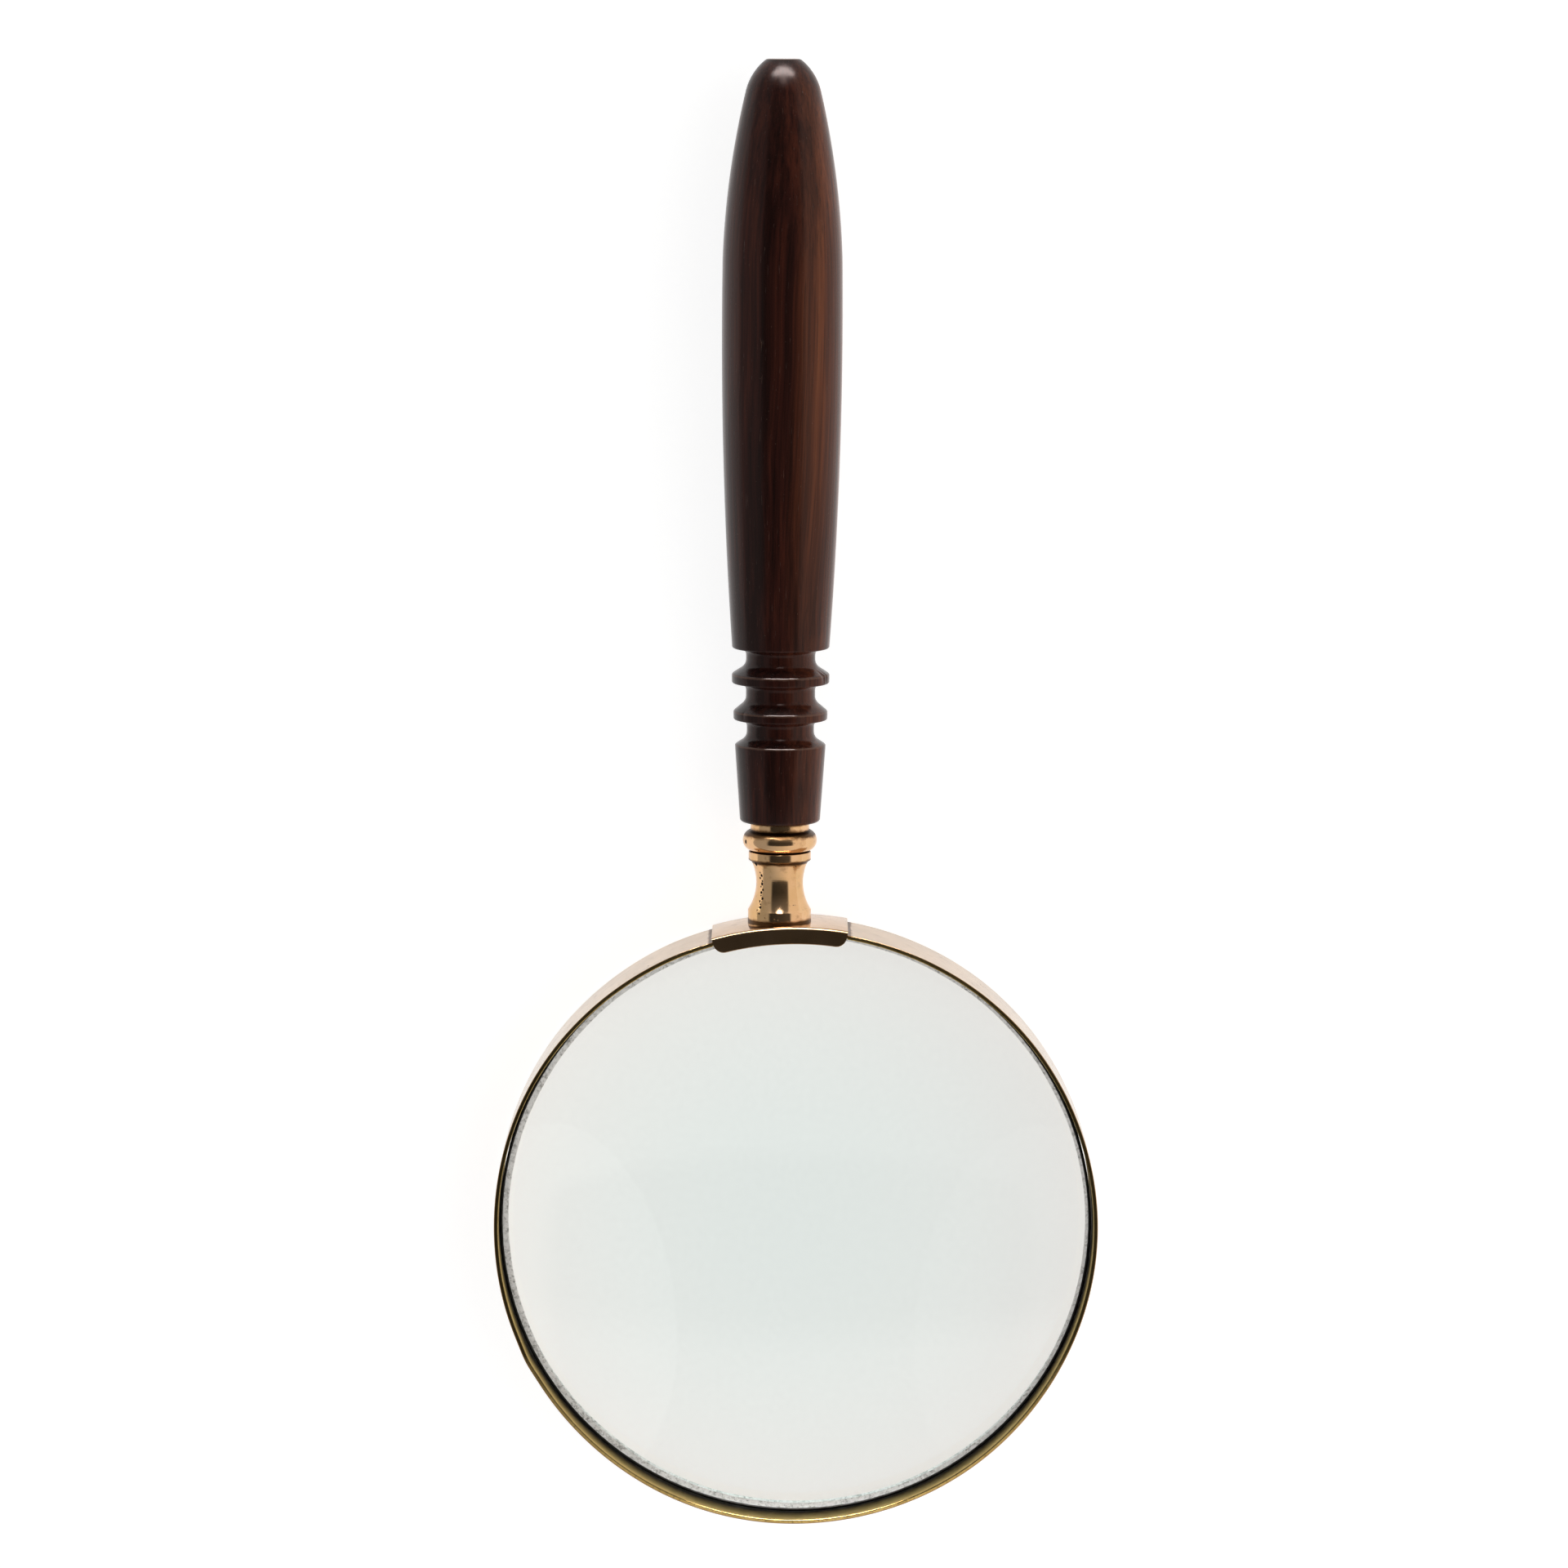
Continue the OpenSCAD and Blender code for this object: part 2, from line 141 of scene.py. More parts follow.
def rounded(points, closed=True, steps=4, guard=0.04):
    """Turns corners given as (a, b, radius) into small arcs, with a guard point on each side."""
    out = []
    n = len(points)
    for i, p in enumerate(points):
        if len(p) == 2 or (not closed and i in (0, n - 1)):
            out.append((p[0], p[1]))
            continue
        here = Vector(p[:2])
        before = Vector(points[i - 1][:2]) - here
        after = Vector(points[(i + 1) % n][:2]) - here
        half = before.angle(after) / 2
        reach = p[2] / math.tan(half)
        b, a = before.normalized(), after.normalized()
        centre = here + (a + b).normalized() * (p[2] / math.sin(half))
        first, last = here + b * reach, here + a * reach
        out.append(tuple(first + b * guard))
        start, stop = first - centre, last - centre
        sweep = math.atan2(start.x * stop.y - start.y * stop.x, start.dot(stop))
        for k in range(steps + 1):
            t = sweep * k / steps
            c, s = math.cos(t), math.sin(t)
            out.append((centre.x + start.x * c - start.y * s,
                        centre.y + start.x * s + start.y * c))
        out.append(tuple(last + a * guard))
    return out


# ---------------------------------------------------------------- meshes


def finish_mesh(name, verts, faces, uvs, mats, body, nodes, sharp, face_mats):
    """Makes the object from points in mm; edges that turn more than sharp degrees stay sharp."""
    mesh = bpy.data.meshes.new(name)
    mesh.from_pydata([Vector(v) * MM for v in verts], [], faces)
    layer = mesh.uv_layers.new(name="along")
    for loop in mesh.loops:
        layer.data[loop.index].uv = uvs[loop.vertex_index]
    for m in mats:
        mesh.materials.append(m)
    for poly in mesh.polygons:
        poly.use_smooth = True
        poly.material_index = face_mats[poly.index]
    mesh.validate()
    work = bmesh.new()
    work.from_mesh(mesh)
    bmesh.ops.recalc_face_normals(work, faces=work.faces)
    work.to_mesh(mesh)
    work.free()
    mesh.set_sharp_from_angle(angle=math.radians(sharp))
    obj = bpy.data.objects.new(name, mesh)
    bpy.context.scene.collection.objects.link(obj)
    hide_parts(*nodes)
    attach(obj, body)
    return obj


def lathe(name, outline, axis, mats, body, nodes, segs=192, sharp=32, pick=None, wear=None):
    """Turns an outline of (radius, along) points in mm; points at radius 0 become single poles.

    axis is "Y" for the handle's axis or "Z" for the lens axis. pick(point, point) chooses the
    material between two points, and wear(angle, along) gives how far the surface is worn in.
    """
    verts, uvs, rings = [], [], []
    run = 0.0
    prev = outline[0]
    for r, t in outline:
        run += math.dist(prev, (r, t))
        prev = (r, t)
        count = 1 if r < 1e-6 else segs
        rings.append((len(verts), count))
        for k in range(count):
            a = 2 * math.pi * k / segs
            near = r - wear(a, t) if wear and count > 1 else r
            u, w = near * math.sin(a), -near * math.cos(a)
            verts.append((AXIS_X + u, t, MID_Z + w) if axis == "Y" else (u, w, t))
            uvs.append((k / segs, run * MM))
    faces, face_mats = [], []
    pairs = list(zip(range(len(rings) - 1), range(1, len(rings))))
    if outline[0][0] > 1e-6:
        pairs.append((len(rings) - 1, 0))
    for i, j in pairs:
        (a0, na), (b0, nb) = rings[i], rings[j]
        for k in range(segs):
            m = (k + 1) % segs
            quad = [a0 + k, a0 + m, b0 + m, b0 + k]
            if na == 1:
                quad = [a0, b0 + m, b0 + k]
            elif nb == 1:
                quad = [a0 + k, a0 + m, b0]
            faces.append(quad)
            face_mats.append(pick(outline[i], outline[j]) if pick else 0)
    if axis == "Z":
        faces = [f[::-1] for f in faces]
    return finish_mesh(name, verts, faces, uvs, mats, body, nodes, sharp, face_mats)


def ring_mesh(name, section_at, angles, mats, body, nodes, sharp, pick, closed=True):
    """Sweeps a section of (radius, height) points in mm round the lens axis.

    Every section has the same number of points, and pick(place in the section, that number)
    chooses the material of a face.
    """
    verts, uvs, faces, face_mats = [], [], [], []
    n = len(section_at(angles[0]))
    for a in angles:
        run, section = 0.0, section_at(a)
        prev = section[0]
        for r, z in section:
            run += math.dist(prev, (r, z))
            prev = (r, z)
            verts.append((r * math.cos(a), r * math.sin(a), z))
            uvs.append((a * HOOP_R * MM, run * MM))
    total = len(angles)
    for i in range(total if closed else total - 1):
        j = (i + 1) % total
        for k in range(n):
            m = (k + 1) % n
            faces.append([i * n + k, j * n + k, j * n + m, i * n + m])
            face_mats.append(pick(k, n))
    if not closed:
        faces.append(list(range(n)))
        faces.append([(total - 1) * n + k for k in reversed(range(n))])
        face_mats += [0, 0]
    faces = [f[::-1] for f in faces]
    return finish_mesh(name, verts, faces, uvs, mats, body, nodes, sharp, face_mats)


# ---------------------------------------------------------------- shader helpers


class Shader:
    """A small builder for the nodes of a material or of the world."""

    def __init__(self, owner, output="OutputMaterial"):
        self.owner = owner
        owner.use_nodes = True
        self.tree = owner.node_tree
        self.tree.nodes.clear()
        self.out = self.node(output)
        self.coords = self.node("TexCoord")

    def node(self, kind, props=None, **inputs):
        """Adds a node; its inputs are given by name, or by number as i0, i1 and so on."""
        n = self.tree.nodes.new("ShaderNode" + kind)
        for k, v in (props or {}).items():
            setattr(n, k, v)
        for k, v in inputs.items():
            by_number = k[0] == "i" and k[1:].isdigit()
            self.put(n.inputs[int(k[1:]) if by_number else k.replace("_", " ")], v)
        return n

    def put(self, socket, value):
        """Links another node's socket to this one, or sets a constant on it."""
        if isinstance(value, bpy.types.NodeSocket):
            self.tree.links.new(value, socket)
        else:
            socket.default_value = value

    def scaled(self, x, y=None, z=None, source="Object"):
        """Coordinates times a scale; a single number scales all three axes."""
        scale = (x, x, x) if y is None else (x, y, z)
        return self.node("Mapping", Vector=self.coords.outputs[source], Scale=scale).outputs[0]

    def axes(self, source="Object"):
        return self.node("SeparateXYZ", Vector=self.coords.outputs[source]).outputs

    def noise(self, vector, detail=4.0, rough=0.55):
        n = self.node("TexNoise", Vector=vector, Scale=1.0, Detail=detail, Roughness=rough)
        return n.outputs["Fac"]

    def ramp(self, fac, *stops):
        """A colour ramp; each stop is a position with a grey level or a colour."""
        n = self.node("ValToRGB", Fac=fac)
        els = n.color_ramp.elements
        while len(els) < len(stops):
            els.new(0.5)
        for e, (pos, col) in zip(els, stops):
            e.position = pos
            e.color = (*col, 1) if isinstance(col, tuple) else (col, col, col, 1)
        return n.outputs["Color"]

    def math(self, op, a, b=0.0, clamp=False):
        return self.node("Math", {"operation": op, "use_clamp": clamp}, i0=a, i1=b).outputs[0]

    def away(self, value, place):
        """How far the value is from a place."""
        return self.math("ABSOLUTE", self.math("SUBTRACT", value, place))

    def rise(self, value, start, width):
        """0 below the start, growing to 1 over the width."""
        return self.math("DIVIDE", self.math("SUBTRACT", value, start), width, clamp=True)

    def mix(self, fac, a, b):
        n = self.node("Mix", {"data_type": "RGBA"})
        self.put(n.inputs[0], fac)
        self.put(n.inputs[6], a)
        self.put(n.inputs[7], b)
        return n.outputs[2]

    def bump(self, height, distance, normal=None):
        n = self.node("Bump", Height=height, Distance=distance, Strength=1.0)
        if normal is not None:
            self.put(n.inputs["Normal"], normal)
        return n.outputs[0]

    def principled(self, **inputs):
        n = self.node("BsdfPrincipled", **inputs)
        self.put(self.out.inputs["Surface"], n.outputs[0])
        return n


def shader(name):
    return Shader(bpy.data.materials.new(name))


def rgb(r, g, b):
    return (r, g, b, 1.0)


# ---------------------------------------------------------------- brass
# width of a pit's soft edge and how ragged it is, in metres
PIT_SOFT, PIT_FRAY = 0.00004, 0.00012


def brass(name, warm, pale, lines, pit_cover, seams=(), marks=()):
    """Old polished brass: two tones, tarnished patches, black pits, fine lines, and seams darkened
    partly by tarnishing and partly by painted contact shade.

    lines are the scales of the fine lines, and a higher pit_cover leaves fewer pits. seams are
    (axis, position, reach) in mm; those across X count only on the handle's side of the lens.
    marks are (centre in metres, radius in mm) of single pits.
    """
    s = shader(name)
    cloud = s.noise(s.scaled(160), 3)
    tone = s.mix(s.ramp(cloud, (0.35, 0.0), (0.65, 1.0)), rgb(*warm), rgb(*pale))
    blotch = s.noise(s.scaled(620), 5, 0.65)
    tarnish_and_shade = s.math("MULTIPLY", s.ramp(blotch, (0.56, 0.0), (0.8, 1.0)), 0.5)
    place = s.axes()
    ragged = s.math("ADD", blotch, 0.1)
    for axis, seam, reach in seams:
        share = s.math("DIVIDE", s.away(place[axis], seam * MM),
                       s.math("MULTIPLY", ragged, reach * MM))
        seam_dirt_and_shade = s.math("SUBTRACT", 1.0, share, clamp=True)
        if axis == "X":
            seam_dirt_and_shade = s.math("MULTIPLY", seam_dirt_and_shade, s.math("GREATER_THAN", place["Y"], 0.0))
        tarnish_and_shade = s.math("MAXIMUM", tarnish_and_shade, s.math("MULTIPLY", seam_dirt_and_shade, 1.8, clamp=True))
    # painted shade: the tarnished brown along the seams is partly real tarnishing and partly
    # contact shade between parts
    tone = s.mix(tarnish_and_shade, tone, rgb(0.22, 0.1, 0.035))
    # near black where that is strongest, mostly in the seams: painted contact shade as well as old
    # blackening
    grime_and_shade = s.math("MULTIPLY", s.math("POWER", tarnish_and_shade, 3.0), 0.75)
    tone = s.mix(grime_and_shade, tone, rgb(0.035, 0.02, 0.009))
    cells = s.node("TexVoronoi", Vector=s.scaled(1500), Scale=1.0, Randomness=1.0)
    dot = s.ramp(cells.outputs["Distance"], (0.13, 1.0), (0.24, 0.0))
    where = s.ramp(s.noise(s.scaled(260), 3, 0.6), (pit_cover, 0.0), (pit_cover + 0.05, 1.0))
    pits = s.math("MULTIPLY", dot, where)
    if marks:
        fray = s.math("SUBTRACT", s.noise(s.scaled(6000), 2), 0.5)
        fray = s.math("MULTIPLY", fray, PIT_FRAY)
        for centre, radius in marks:
            near = s.node("VectorMath", {"operation": "DISTANCE"},
                          i0=s.coords.outputs["Object"], i1=centre)
            gap = s.math("SUBTRACT", radius * MM, s.math("ADD", near.outputs["Value"], fray))
            pits = s.math("MAXIMUM", pits, s.math("DIVIDE", gap, PIT_SOFT, clamp=True))
    tone = s.mix(pits, tone, rgb(0.02, 0.011, 0.006))
    fine = s.noise(s.scaled(*lines), 5, 0.6)
    smear = s.noise(s.scaled(300), 4)
    rough = s.math("ADD", s.math("MULTIPLY", smear, 0.16), s.math("MULTIPLY", fine, 0.08))
    rough = s.math("ADD", rough, s.math("MULTIPLY", tarnish_and_shade, 0.25))
    rough = s.math("ADD", rough, s.math("MULTIPLY", pits, 0.5), clamp=True)
    normal = s.bump(fine, 0.00001)
    normal = s.bump(s.math("SUBTRACT", 1.0, pits), 0.00003, normal)
    s.principled(Base_Color=tone, Metallic=1.0, Roughness=rough, Normal=normal)
    return s.owner


def on_brass(turn_deg, y, r):
    """A point on the turned brass, turned from the front towards +X."""
    t = math.radians(turn_deg)
    return ((AXIS_X + r * math.sin(t)) * MM, y * MM, (MID_Z + r * math.cos(t)) * MM)


def neck_radius(y):
    return NECK_R + NECK_CURVE - math.sqrt(NECK_CURVE ** 2 - (y - NECK_Y) ** 2)


# the crooked line of casting pits down one side of the neck
PIT_COUNT, PIT_TOP, PIT_STEP = 15, 60.9, 0.49
PIT_TURN, PIT_SWAY, PIT_DRIFT = -51, 4, 0.6
PIT_LEAST, PIT_MORE = 0.16, 0.12
# a few more on its base and on the bead: turn from the front, y, distance from the axis, radius
LONE_PITS = ((-58, 62.3, 4.8, 0.36), (-66, 66.2, 6.3, 0.38), (-38, 65.0, 5.9, 0.16),
             (36, 62.1, 4.7, 0.16), (62, 54.6, 5.2, 0.12), (-20, 63.2, 5.34, 0.1),
             (150, 57.0, 4.25, 0.2), (128, 66.4, 6.35, 0.22), (48, 65.4, 6.2, 0.1),
             (-27, 53.4, 5.42, 0.1))


def casting_pits():
    """Centre and radius of every single pit on the turned brass."""
    pits = []
    for i in range(PIT_COUNT):
        y = PIT_TOP - PIT_STEP * i
        turn_deg = PIT_TURN + PIT_SWAY * math.sin(2.3 * i) + PIT_DRIFT * i
        pits.append((on_brass(turn_deg, y, neck_radius(y)),
                     PIT_LEAST + PIT_MORE * math.sin(5.1 * i) ** 2))
    return pits + [(on_brass(turn_deg, y, r), size) for turn_deg, y, r, size in LONE_PITS]


# the middle of the darkening in the groove above the bead, a painted shade that stands for the dark
# wood reflected in the bead's top
BEAD_TOP = COLLAR_Y + 2 * BEAD_ROUND - 0.4
# the painted shadow line beside the saddle is this far beyond its ends
SEAM_OUT = 0.12
# (axis, position, reach) of the seams, darkened partly by tarnishing and partly by painted contact
# shade
ring_seams = [("Y", HOOP_TOP, 1.1), ("Y", PILLAR_TOP, 0.9), ("Y", COLLAR_Y, 0.3),
              ("Y", BEAD_TOP, 1.5), ("Y", HANDLE_Y, 0.8)]
# beside the saddle's ends on the hoop: painted shadow lines of the plate's step
plate_shadow_seams = [("X", saddle_lo.x / MM - SEAM_OUT, 1.1), ("X", saddle_hi.x / MM + SEAM_OUT, 1.1)]
TURNED_LINES, ROLLED_LINES = (120, 5200, 120), (260, 260, 3600)
turned_brass = brass("turned_brass", (0.76, 0.475, 0.265), (0.68, 0.42, 0.2), TURNED_LINES, 0.62,
                     ring_seams, casting_pits())
hoop_brass = brass("hoop_brass", (0.475, 0.308, 0.163), (0.4, 0.247, 0.118), ROLLED_LINES, 0.64,
                   plate_shadow_seams)
saddle_brass = brass("saddle_brass", (0.585, 0.374, 0.21), (0.485, 0.3, 0.15), ROLLED_LINES, 0.64)
# dark brass for the fold faces that reflect the edge lamp: painted, it tones that highlight down to
# a pale gold line
fold_highlight_brass = brass("fold_highlight_brass", (0.15, 0.118, 0.078), (0.12, 0.09, 0.055), ROLLED_LINES, 0.64)


def filed_brass():
    """The hoop's flat ends: brass with short file marks across the band, darker towards the left
    and right.
    """
    s = shader("filed_brass")
    marks = s.noise(s.scaled(1500, 240, 1, "UV"), 4, 0.7)
    cloud = s.ramp(s.noise(s.scaled(300), 4, 0.6), (0.35, 0.0), (0.7, 1.0))
    tone = s.mix(cloud, rgb(0.82, 0.58, 0.22), rgb(0.55, 0.37, 0.12))
    tone = s.mix(s.ramp(marks, (0.52, 0.0), (0.72, 0.9)), tone, rgb(0.12, 0.07, 0.02))
    aside = s.rise(s.math("ABSOLUTE", s.axes()["X"]), 0.02, 0.025)
    tone = s.mix(s.math("MULTIPLY", aside, 0.6), tone, rgb(0.14, 0.095, 0.035))
    rough = s.math("ADD", 0.02, s.math("MULTIPLY", marks, 0.1))
    s.principled(Base_Color=tone, Metallic=1.0, Roughness=rough, Normal=s.bump(marks, 0.000002))
    return s.owner


def inner_brass():
    """The hoop's inner wall: gold at its mouths, darkening to near black beside the glass, which is
    painted shade deep inside the hoop.
    """
    s = shader("inner_brass")
    deep = s.math("SUBTRACT", MID_Z * MM, s.away(s.axes()["Z"], MID_Z * MM))
    cloud = s.noise(s.scaled(500), 5, 0.65)
    deep = s.math("ADD", deep, s.math("MULTIPLY", s.math("SUBTRACT", cloud, 0.5), 0.0016))
    # painted shade: the colour darkens with depth into the hoop, towards the glass
    tone = s.ramp(s.math("DIVIDE", deep, 0.0064),
                  (0.08, (0.6, 0.41, 0.15)), (0.35, (0.27, 0.19, 0.072)),
                  (0.62, (0.11, 0.078, 0.03)), (0.86, (0.006, 0.005, 0.003)))
    rough = s.math("ADD", 0.4, s.math("MULTIPLY", cloud, 0.3))
    s.principled(Base_Color=tone, Metallic=0.2, Roughness=rough, Normal=s.bump(cloud, 0.00002),
                 Specular_IOR_Level=0.03, Specular_Tint=rgb(0.35, 0.26, 0.12))
    return s.owner


# ---------------------------------------------------------------- wood, glass and steel
# heights of the worn edges: the rims and the end; the paler line on the rims is partly a painted
# highlight
WORN_AND_LIT_EDGES = (13.25, 18.95, 25.3, HANDLE_L + 0.05)
# the redder, lighter side starts this far right of the axis, partly the wood's figure and partly
# painted light from the right, and grows redder from this high on the handle
RED_LIT_FROM, GRIP_FROM = 1.4, 28
GLASS_IOR = 1.517


def rosewood_material():
    """Dark rosewood: fine lengthwise streaks from near black to red brown, redder and lighter to
    the right, partly its own figure and partly painted light from the right.
    """
    s = shader("rosewood")
    drift = s.math("SUBTRACT", s.noise(s.scaled(40, 14, 40), 2), 0.5)
    offset = s.node("CombineXYZ", X=s.math("MULTIPLY", drift, 0.006))
    bend = s.node("VectorMath", {"operation": "ADD"},
                  i0=s.coords.outputs["Object"], i1=offset.outputs[0]).outputs[0]

    def streak(across, along, detail, rough=0.55):
        stretched = s.node("Mapping", Vector=bend, Scale=(across, along, across))
        return s.noise(stretched.outputs[0], detail, rough)

    place = s.node("SeparateXYZ", Vector=bend).outputs
    height = place["Y"]
    # painted light: redder and lighter to the right of the axis, partly the wood's figure and
    # partly light falling from the right
    side = s.rise(place["X"], (AXIS_X + RED_LIT_FROM) * MM, 0.0062)
    grip = s.rise(height, (HANDLE_Y + GRIP_FROM) * MM, 0.045)
    side = s.math("MULTIPLY", side, s.math("ADD", 0.35, s.math("MULTIPLY", grip, 0.65)))
    wide = streak(260, 6, 3)
    fine = streak(1300, 16, 5, 0.62)
    hair = streak(4200, 55, 3, 0.6)
    figure = s.math("ADD", s.math("MULTIPLY", wide, 0.55), s.math("MULTIPLY", fine, 0.45))
    dark_wood = s.ramp(figure, (0.4, (0.014, 0.005, 0.004)), (0.51, (0.033, 0.009, 0.0064)),
                       (0.62, (0.064, 0.0165, 0.0095)))
    red_lit_wood = s.ramp(figure, (0.4, (0.085, 0.0225, 0.0085)), (0.51, (0.155, 0.043, 0.0155)),
                      (0.62, (0.225, 0.07, 0.025)))
    redness_and_light = s.math("MULTIPLY", side, s.ramp(wide, (0.25, 0.35), (0.6, 1.0)))
    tone = s.mix(redness_and_light, dark_wood, red_lit_wood)
    lines = s.math("MULTIPLY", s.ramp(hair, (0.5, 0.0), (0.7, 1.0)), 0.5)
    tone = s.mix(lines, tone, rgb(0.006, 0.0035, 0.003))
    pores = s.ramp(streak(5200, 260, 2, 0.5), (0.7, 0.0), (0.74, 1.0))
    tone = s.mix(s.math("MULTIPLY", pores, 0.35), tone, rgb(0.1, 0.05, 0.032))
    dust = s.node("TexVoronoi", Vector=s.scaled(800, 500, 800), Scale=1.0)
    speck = s.ramp(dust.outputs["Distance"], (0.03, 1.0), (0.05, 0.0))
    tone = s.mix(s.math("MULTIPLY", speck, 0.3), tone, rgb(0.26, 0.17, 0.12))

    # worn edges are paler and glossier, the rims' paler line partly real wear and partly a painted
    # highlight, and the flat end is bare end grain
    worn = 0.0
    ragged = s.math("MULTIPLY", s.noise(s.scaled(1500), 3), 0.0005)
    for edge in WORN_AND_LIT_EDGES:
        share = s.math("DIVIDE", s.away(height, (HANDLE_Y + edge) * MM), ragged)
        worn = s.math("MAXIMUM", worn, s.math("SUBTRACT", 1.0, share, clamp=True))
    # painted highlight: a paler line along the rims' upper edges, partly real wear
    tone = s.mix(s.math("MULTIPLY", worn, 0.6), tone, rgb(0.16, 0.09, 0.065))
    bare = s.math("GREATER_THAN", height, (HANDLE_Y + HANDLE_L - 0.08) * MM)
    bare = s.math("MULTIPLY", bare, s.ramp(hair, (0.3, 0.75), (0.7, 0.3)))
    tone = s.mix(bare, tone, rgb(0.45, 0.29, 0.2))

    polish = s.noise(s.scaled(420, 90, 420), 4)
    rough = s.math("ADD", 0.13, s.math("MULTIPLY", polish, 0.13))
    rough = s.math("ADD", rough, s.math("MULTIPLY", pores, 0.25))
    end = s.rise(height, (HANDLE_Y + HANDLE_L - 12) * MM, 0.005)
    rough = s.math("ADD", rough, s.math("MULTIPLY", end, 0.05))
    rough = s.math("SUBTRACT", rough, s.math("MULTIPLY", worn, 0.3), clamp=True)
    normal = s.bump(fine, 0.00002)
    normal = s.bump(hair, 0.000006, normal)
    normal = s.bump(s.math("SUBTRACT", 1.0, pores), 0.00002, normal)
    s.principled(Base_Color=tone, Roughness=rough, Normal=normal, IOR=1.45,
                 Specular_IOR_Level=0.22, Specular_Tint=rgb(1.0, 0.84, 0.8))
    return s.owner


def clear_glass():
    """Clear crown glass, faintly green through its thickness; lamps shine through it."""
    s = shader("lens_glass")
    film = s.ramp(s.noise(s.scaled(70), 4, 0.6), (0.45, 0.0), (0.8, 1.0))
    glass = s.principled(Base_Color=rgb(0.918, 0.88, 0.857), IOR=GLASS_IOR,
                         Roughness=s.math("MULTIPLY", film, 0.02), Transmission_Weight=1.0)
    clear = s.node("BsdfTransparent", Color=rgb(0.93, 0.94, 0.93))
    path = s.node("LightPath").outputs
    straight = s.math("MAXIMUM", path["Is Shadow Ray"], path["Is Diffuse Ray"])
    both = s.node("MixShader", i0=straight, i1=glass.outputs[0], i2=clear.outputs[0])
    s.put(s.out.inputs["Surface"], both.outputs[0])
    deep = s.node("VolumeAbsorption", Color=rgb(0.7, 0.88, 0.88), Density=30.0)
    s.put(s.out.inputs["Volume"], deep.outputs[0])
    return s.owner


def ground_glass():
    """The ground bevel and edge of the lens: pale grey, mottled, with small white chips."""
    s = shader("ground_glass")
    mottle = s.noise(s.scaled(1500), 5, 0.7)
    patches = s.ramp(s.noise(s.scaled(420), 3, 0.6), (0.4, 0.0), (0.6, 1.0))
    chips = s.ramp(s.noise(s.scaled(2300), 3, 0.6), (0.6, 0.0), (0.66, 1.0))
    tone = s.ramp(mottle, (0.4, (0.2, 0.19, 0.17)), (0.54, (0.82, 0.8, 0.78)))
    tone = s.mix(s.math("MULTIPLY", patches, 0.6), tone, rgb(0.93, 0.92, 0.9))
    tone = s.mix(chips, tone, rgb(0.98, 0.98, 0.97))
    s.principled(Base_Color=tone, Roughness=0.5, IOR=GLASS_IOR, Transmission_Weight=0.55,
                 Normal=s.bump(mottle, 0.00004))
    return s.owner


def steel(name, shade, lines, edge=1.0):
    """Steel of a grey shade with fine lines and darker patches; a low edge dulls glancing shine."""
    s = shader(name)
    fine = s.noise(s.scaled(*lines), 4, 0.6)
    cloud = s.ramp(s.noise(s.scaled(700), 4, 0.6), (0.4, 0.0), (0.75, 1.0))
    tone = s.mix(cloud, rgb(shade, shade * 0.97, shade * 0.93),
                 rgb(shade * 0.5, shade * 0.42, shade * 0.36))
    rough = s.math("ADD", 0.22, s.math("MULTIPLY", fine, 0.25))
    s.principled(Base_Color=tone, Metallic=1.0, Roughness=rough, Normal=s.bump(fine, 0.00001),
                 Specular_Tint=rgb(edge, edge * 0.85, edge * 0.65))
    return s.owner


# ---------------------------------------------------------------- lens
# the bevel was ground unevenly: the clear faces end further out by this, more on one side
# (amount, angle), with small ripples (height, number round the lens)
CLEAR_MORE = 0.25
CLEAR_SIDE, CLEAR_SIDE_AT = 0.3, 0.7
RIPPLES = ((0.03, 9), (0.02, 23))


def face_z(r):
    """Height of a clear face above the middle of the lens."""
    return LENS_T / 2 - FACE_R + math.sqrt(FACE_R ** 2 - r ** 2)


def uneven_clear_r(a):
    ripple = sum(high * math.sin(n * a) for high, n in RIPPLES)
    return CLEAR_R + CLEAR_MORE + CLEAR_SIDE * math.cos(a - CLEAR_SIDE_AT) + ripple


def lens_zone(p, q):
    """0 for the clear faces, 1 for the ground bevel and edge."""
    return 1 if min(p[0], q[0]) > CLEAR_R - 0.01 else 0


bevel_z = face_z(CLEAR_R)
edge_z = bevel_z - BEVEL_T
rim_angle = math.degrees(math.asin(CLEAR_R / FACE_R))
half_lens = arc(0, LENS_T / 2 - FACE_R, FACE_R, 90, 90 - rim_angle, 48)
half_lens[0] = (0.0, LENS_T / 2)
half_lens += [(LENS_R - BEVEL_W / 2, (bevel_z + edge_z) / 2), (LENS_R, edge_z)]
lens_outline = [(r, MID_Z + z) for r, z in half_lens]
lens_outline += [(r, MID_Z - z) for r, z in reversed(half_lens)]
lens_disc = lathe("lens_glass_disc", lens_outline, "Z", [clear_glass(), ground_glass()], "head",
                  ["lens"], segs=360, sharp=10, pick=lens_zone)

for v in lens_disc.data.vertices:
    r, a = math.hypot(v.co.x, v.co.y) / MM, math.atan2(v.co.y, v.co.x)
    if 0.01 < r < LENS_R - 0.01:
        clear_r = uneven_clear_r(a)
        new_r = r * clear_r / CLEAR_R
        z = face_z(new_r)
        if r > CLEAR_R + 0.01:
            new_r = (clear_r + LENS_R) / 2
            z = (face_z(clear_r) + edge_z) / 2
        side = 1 if v.co.z / MM > MID_Z else -1
        v.co = (new_r * math.cos(a) * MM, new_r * math.sin(a) * MM, (MID_Z + side * z) * MM)

# ---------------------------------------------------------------- hoop
HOOP_CORNER, HOOP_DROP = 0.13, 0.09
HOOP_STEPS, NOTCH_STEPS = 540, 60
